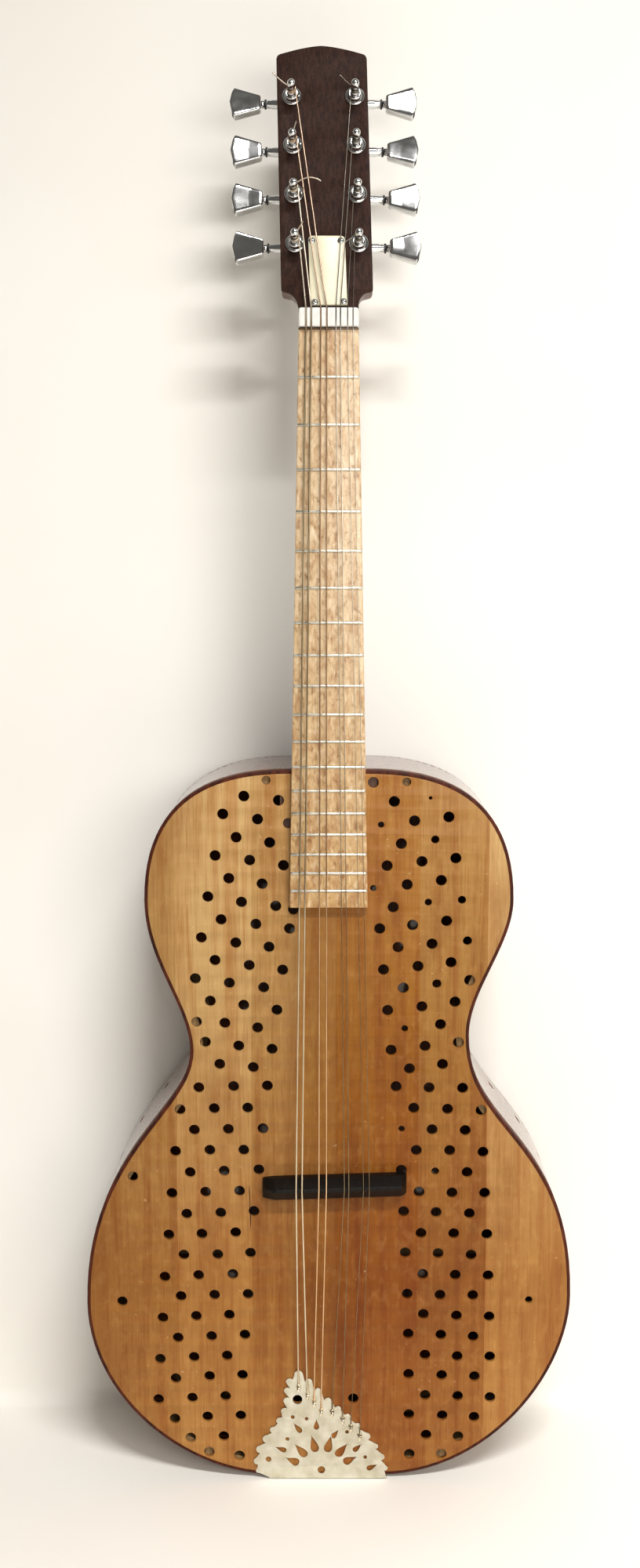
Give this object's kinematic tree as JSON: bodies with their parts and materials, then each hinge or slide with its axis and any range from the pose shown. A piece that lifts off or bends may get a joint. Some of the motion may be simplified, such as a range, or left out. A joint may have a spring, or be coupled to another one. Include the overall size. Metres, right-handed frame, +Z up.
{
  "type": "octave mandolin",
  "caption": "Flat-top octave mandolin with a perforated soundboard, paired strings on geared tuning machines, floating bridge and a pierced metal tailpiece.",
  "frame": {"origin": "middle of the neck at the nut's back edge, in the plane of the fingerboard's face, where a padded wall yoke's arms take the headstock's shoulders", "axes": "+Z up the neck towards the headstock, -Y out of the face that the strings lie on, +X to the viewer's right, the side of the thin strings"},
  "size_m": [0.3297, 0.1071, 0.9565],
  "materials": {
    "soundboard_veneer": "amber lacquered maple veneer, satin",
    "mahogany": "dark red brown, gloss lacquer",
    "binding_wood": "dark brown, lacquered",
    "spruce": "bare",
    "rosewood": "fine straight grain, satin",
    "maple_board": "clear lacquer, with nickel fret wires",
    "ebony": "polished",
    "bone": "off-white, polished",
    "ivory_plastic": "cream",
    "chrome": "polished plating",
    "silver_sheet": "warm white metal, brushed",
    "bronze_wire": "bronze wound",
    "steel_wire": "bright plain steel",
    "steel_rod": "plain"
  },
  "bodies": {
    "instrument": {"soundboard": "soundboard_veneer", "top_binding": "binding_wood", "rib_bass": "mahogany", "rib_treble": "mahogany", "back_plate": "mahogany", "top_lining": "spruce", "back_lining": "spruce", "neck_block": "spruce", "tail_block": "spruce", "top_brace_bass": "spruce", "top_brace_treble": "spruce", "back_brace": "spruce", "neck": "mahogany", "headstock_veneer": "rosewood", "truss_rod": "steel_rod", "rod_cover": "ivory_plastic", "fingerboard": "maple_board", "nut": "bone", "bridge": "ebony", "tailpiece": "silver_sheet", "housing_bass_1": "chrome", "bushing_bass_1": "chrome", "housing_bass_2": "chrome", "bushing_bass_2": "chrome", "housing_bass_3": "chrome", "bushing_bass_3": "chrome", "housing_bass_4": "chrome", "bushing_bass_4": "chrome", "housing_treble_1": "chrome", "bushing_treble_1": "chrome", "housing_treble_2": "chrome", "bushing_treble_2": "chrome", "housing_treble_3": "chrome", "bushing_treble_3": "chrome", "housing_treble_4": "chrome", "bushing_treble_4": "chrome", "string_1": "bronze_wire", "string_2": "bronze_wire", "string_3": "bronze_wire", "string_4": "bronze_wire", "string_5": "steel_wire", "string_6": "steel_wire", "string_7": "steel_wire", "string_8": "steel_wire"},
    "knob_bass_1_turner": {"knob_bass_1": "chrome"},
    "post_bass_1_roller": {"post_bass_1": "chrome"},
    "knob_bass_2_turner": {"knob_bass_2": "chrome"},
    "post_bass_2_roller": {"post_bass_2": "chrome"},
    "knob_bass_3_turner": {"knob_bass_3": "chrome"},
    "post_bass_3_roller": {"post_bass_3": "chrome"},
    "knob_bass_4_turner": {"knob_bass_4": "chrome"},
    "post_bass_4_roller": {"post_bass_4": "chrome"},
    "knob_treble_1_turner": {"knob_treble_1": "chrome"},
    "post_treble_1_roller": {"post_treble_1": "chrome"},
    "knob_treble_2_turner": {"knob_treble_2": "chrome"},
    "post_treble_2_roller": {"post_treble_2": "chrome"},
    "knob_treble_3_turner": {"knob_treble_3": "chrome"},
    "post_treble_3_roller": {"post_treble_3": "chrome"},
    "knob_treble_4_turner": {"knob_treble_4": "chrome"},
    "post_treble_4_roller": {"post_treble_4": "chrome"}
  },
  "joints": [
    {"name": "turn_bass_1", "type": "hinge", "parent": "instrument", "child": "knob_bass_1_turner", "pos_m": [-0.02126, 0.03435, 0.04244], "axis": [1, 0, 0], "continuous": true},
    {"name": "roll_bass_1", "type": "hinge", "parent": "instrument", "child": "post_bass_1_roller", "pos_m": [-0.02126, 0.01254, 0.04131], "axis": [0, -0.9744, 0.225], "continuous": true},
    {"name": "turn_bass_2", "type": "hinge", "parent": "instrument", "child": "knob_bass_2_turner", "pos_m": [-0.02202, 0.04168, 0.0742], "axis": [1, 0, 0], "continuous": true},
    {"name": "roll_bass_2", "type": "hinge", "parent": "instrument", "child": "post_bass_2_roller", "pos_m": [-0.02202, 0.01987, 0.07308], "axis": [0, -0.9744, 0.225], "continuous": true},
    {"name": "turn_bass_3", "type": "hinge", "parent": "instrument", "child": "knob_bass_3_turner", "pos_m": [-0.02278, 0.04902, 0.10596], "axis": [1, 0, 0], "continuous": true},
    {"name": "roll_bass_3", "type": "hinge", "parent": "instrument", "child": "post_bass_3_roller", "pos_m": [-0.02278, 0.02721, 0.10484], "axis": [0, -0.9744, 0.225], "continuous": true},
    {"name": "turn_bass_4", "type": "hinge", "parent": "instrument", "child": "knob_bass_4_turner", "pos_m": [-0.02354, 0.05635, 0.13773], "axis": [1, 0, 0], "continuous": true},
    {"name": "roll_bass_4", "type": "hinge", "parent": "instrument", "child": "post_bass_4_roller", "pos_m": [-0.02354, 0.03454, 0.13661], "axis": [0, -0.9744, 0.225], "continuous": true},
    {"name": "turn_treble_1", "type": "hinge", "parent": "instrument", "child": "knob_treble_1_turner", "pos_m": [0.01894, 0.03435, 0.04244], "axis": [1, 0, 0], "continuous": true},
    {"name": "roll_treble_1", "type": "hinge", "parent": "instrument", "child": "post_treble_1_roller", "pos_m": [0.01894, 0.01254, 0.04131], "axis": [0, -0.9744, 0.225], "continuous": true},
    {"name": "turn_treble_2", "type": "hinge", "parent": "instrument", "child": "knob_treble_2_turner", "pos_m": [0.01818, 0.04168, 0.0742], "axis": [1, 0, 0], "continuous": true},
    {"name": "roll_treble_2", "type": "hinge", "parent": "instrument", "child": "post_treble_2_roller", "pos_m": [0.01818, 0.01987, 0.07308], "axis": [0, -0.9744, 0.225], "continuous": true},
    {"name": "turn_treble_3", "type": "hinge", "parent": "instrument", "child": "knob_treble_3_turner", "pos_m": [0.01742, 0.04902, 0.10596], "axis": [1, 0, 0], "continuous": true},
    {"name": "roll_treble_3", "type": "hinge", "parent": "instrument", "child": "post_treble_3_roller", "pos_m": [0.01742, 0.02721, 0.10484], "axis": [0, -0.9744, 0.225], "continuous": true},
    {"name": "turn_treble_4", "type": "hinge", "parent": "instrument", "child": "knob_treble_4_turner", "pos_m": [0.01666, 0.05635, 0.13773], "axis": [1, 0, 0], "continuous": true},
    {"name": "roll_treble_4", "type": "hinge", "parent": "instrument", "child": "post_treble_4_roller", "pos_m": [0.01666, 0.03454, 0.13661], "axis": [0, -0.9744, 0.225], "continuous": true}
  ],
  "couplings": [
    {"joint": "roll_bass_1", "follows": "turn_bass_1", "ratio": 0.071429},
    {"joint": "roll_bass_2", "follows": "turn_bass_2", "ratio": 0.071429},
    {"joint": "roll_bass_3", "follows": "turn_bass_3", "ratio": 0.071429},
    {"joint": "roll_bass_4", "follows": "turn_bass_4", "ratio": 0.071429},
    {"joint": "roll_treble_1", "follows": "turn_treble_1", "ratio": 0.071429},
    {"joint": "roll_treble_2", "follows": "turn_treble_2", "ratio": 0.071429},
    {"joint": "roll_treble_3", "follows": "turn_treble_3", "ratio": 0.071429},
    {"joint": "roll_treble_4", "follows": "turn_treble_4", "ratio": 0.071429}
  ]
}
